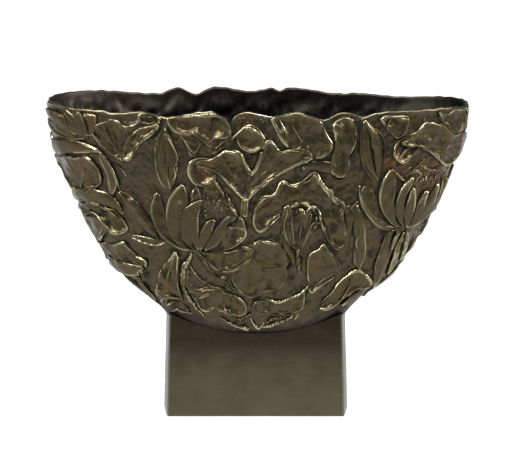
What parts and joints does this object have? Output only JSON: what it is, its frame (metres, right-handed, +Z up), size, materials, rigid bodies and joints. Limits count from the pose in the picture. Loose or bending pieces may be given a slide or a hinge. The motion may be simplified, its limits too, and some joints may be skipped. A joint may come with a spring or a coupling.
{
  "type": "planter pot",
  "caption": "Oval cast brass planter bowl with lotus blossoms and leaves in high relief, on a plain rectangular foot",
  "frame": {"origin": "on the floor under the middle of the foot", "axes": "+X along the bowl's length, -Y is the front with the relief as drawn, +Z up"},
  "size_m": [0.3956, 0.1646, 0.298],
  "materials": {
    "wall_bronze": "cast brass with a dark olive-brown patina, pebbled ground, rubbed on the high spots",
    "foot_bronze": "smooth brass sheet with a satin olive-brown patina and faint brushed streaks",
    "relief_bronze": "chased brass with a dark patina in the hollows and pale yellow-green rubbed edges",
    "felt": "black felt"
  },
  "bodies": {
    "root": {"bowl_front_wall": "wall_bronze", "bowl_back_wall": "wall_bronze", "bowl_floor": "wall_bronze", "foot_front_plate": "foot_bronze", "foot_back_plate": "foot_bronze", "foot_left_end": "foot_bronze", "foot_right_end": "foot_bronze", "foot_base_plate": "foot_bronze", "felt_pad_front_left": "felt", "felt_pad_front_right": "felt", "felt_pad_back_left": "felt", "felt_pad_back_right": "felt", "front_seed_pod": "relief_bronze", "front_bud_left": "relief_bronze", "front_bud_right": "relief_bronze", "front_rim_leaf_right": "relief_bronze", "front_rim_leaf_left": "relief_bronze", "front_cup_leaf": "relief_bronze", "front_tongue_leaf": "relief_bronze", "front_fan_leaf_left": "relief_bronze", "front_fan_leaf_centre": "relief_bronze", "front_blossom_right": "relief_bronze", "front_blossom_left": "relief_bronze", "front_canopy_leaf": "relief_bronze", "front_heart_leaf": "relief_bronze", "front_pond_leaf": "relief_bronze", "front_kidney_leaf": "relief_bronze", "front_trumpet_leaf": "relief_bronze", "front_low_leaf_right": "relief_bronze", "front_end_leaf": "relief_bronze", "front_rim_leaf_small": "relief_bronze", "front_end_blossom": "relief_bronze", "front_band_leaf": "relief_bronze", "front_side_leaf": "relief_bronze", "front_lower_leaf": "relief_bronze", "back_seed_pod": "relief_bronze", "back_bud_left": "relief_bronze", "back_bud_right": "relief_bronze", "back_rim_leaf_right": "relief_bronze", "back_rim_leaf_left": "relief_bronze", "back_cup_leaf": "relief_bronze", "back_tongue_leaf": "relief_bronze", "back_fan_leaf_left": "relief_bronze", "back_fan_leaf_centre": "relief_bronze", "back_blossom_right": "relief_bronze", "back_blossom_left": "relief_bronze", "back_canopy_leaf": "relief_bronze", "back_heart_leaf": "relief_bronze", "back_pond_leaf": "relief_bronze", "back_kidney_leaf": "relief_bronze", "back_trumpet_leaf": "relief_bronze", "back_low_leaf_right": "relief_bronze", "back_end_leaf": "relief_bronze", "back_rim_leaf_small": "relief_bronze", "back_end_blossom": "relief_bronze", "back_band_leaf": "relief_bronze", "back_side_leaf": "relief_bronze", "back_lower_leaf": "relief_bronze"}
  },
  "joints": []
}
